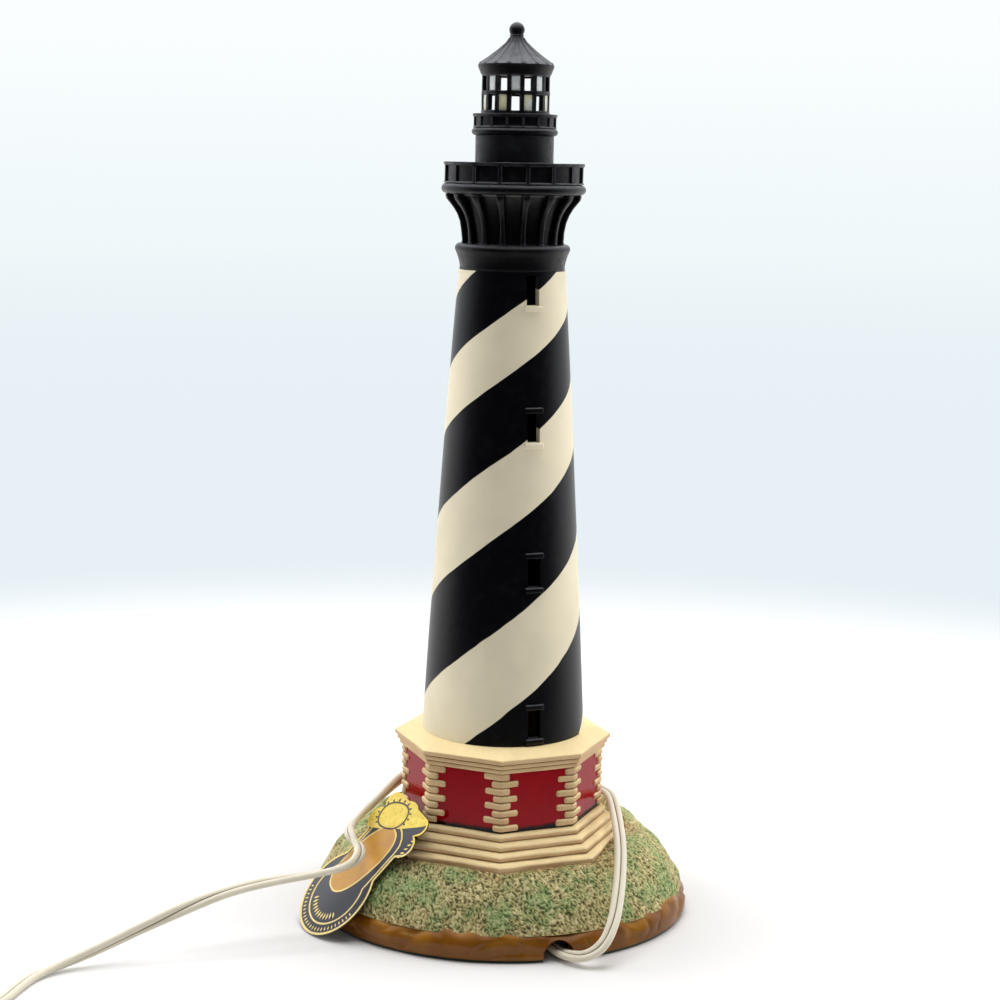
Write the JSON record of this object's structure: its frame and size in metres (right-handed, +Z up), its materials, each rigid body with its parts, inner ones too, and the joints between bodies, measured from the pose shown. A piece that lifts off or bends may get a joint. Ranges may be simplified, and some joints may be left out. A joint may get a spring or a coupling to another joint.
{
  "type": "lighthouse lamp",
  "caption": "Table lamp in the form of a spiral-striped lighthouse on a grassy hill, with an octagonal house, a gallery and a lantern; the tower lifts off for the bulb.",
  "frame": {"origin": "on the table under the tower's axis, at the middle of the base's underside", "axes": "+Z up along the tower, -Y towards the viewer of the picture, +X to the viewer's right"},
  "size_m": [0.4021, 0.2396, 0.38],
  "materials": {
    "hill_glaze": "gloss",
    "felt": "matte",
    "stone_glaze": "satin",
    "red_glaze": "gloss",
    "tower_glaze": "satin",
    "trim_glaze": "satin",
    "black_glaze": "satin",
    "pane_glaze": "gloss",
    "spring_steel": "satin",
    "socket_plastic": "matte",
    "contact_brass": "satin",
    "insulator_glass": "gloss",
    "bulb_glass": "gloss",
    "cord_vinyl": "satin",
    "tie_plastic": "matte",
    "ivory_plastic": "satin",
    "tag_card": "satin"
  },
  "bodies": {
    "base": {"hill_base": "hill_glaze", "base_felt": "felt", "step_plinth": "stone_glaze", "socket_clip": "spring_steel", "socket_body": "socket_plastic", "socket_shell": "contact_brass", "socket_contact": "contact_brass", "inner_lead": "cord_vinyl", "cord": "cord_vinyl", "switch_lead": "cord_vinyl", "plug_lead": "cord_vinyl", "cord_coil": "cord_vinyl", "coil_tie": "tie_plastic", "plug_body": "ivory_plastic", "plug_blades": "contact_brass", "switch_base": "ivory_plastic", "switch_cover": "ivory_plastic", "switch_screw": "spring_steel", "hang_tag": "tag_card"},
    "tower": {"house_wall": "red_glaze", "quoin_stones": "stone_glaze", "house_cornice": "stone_glaze", "tower_shell": "tower_glaze", "window_trim": "trim_glaze", "gallery_collar": "black_glaze", "gallery_bell": "black_glaze", "gallery_brackets": "black_glaze", "gallery_deck": "black_glaze", "gallery_rail": "black_glaze", "watch_drum": "black_glaze", "lantern_deck": "black_glaze", "lantern_frame": "black_glaze", "lantern_panes": "pane_glaze", "lantern_roof": "black_glaze", "roof_finial": "black_glaze"},
    "bulb_seat": {"bulb_contact": "spring_steel"},
    "bulb": {"bulb_cap": "contact_brass", "bulb_insulator": "insulator_glass", "bulb_glass": "bulb_glass", "bulb_stem": "bulb_glass", "bulb_filament": "spring_steel"},
    "wheel": {"switch_wheel": "ivory_plastic"}
  },
  "joints": [
    {"name": "tower_lift", "type": "slide", "parent": "base", "child": "tower", "axis": [0, 0, 1], "range_m": [0, 0.09]},
    {"name": "bulb_rise", "type": "slide", "parent": "base", "child": "bulb_seat", "axis": [0, 0, 1], "range_m": [0, 0.0105]},
    {"name": "bulb_turn", "type": "hinge", "parent": "bulb_seat", "child": "bulb", "pos_m": [0, 0, 0.045], "axis": [0, 0, 1], "range_deg": [0, 1440]},
    {"name": "switch_turn", "type": "hinge", "parent": "base", "child": "wheel", "pos_m": [-0.2555, -0.153, 0.0075], "axis": [0, 0, 1], "continuous": true}
  ],
  "couplings": [
    {"joint": "bulb_rise", "follows": "bulb_turn", "m_per_rad": 0.00040425}
  ]
}
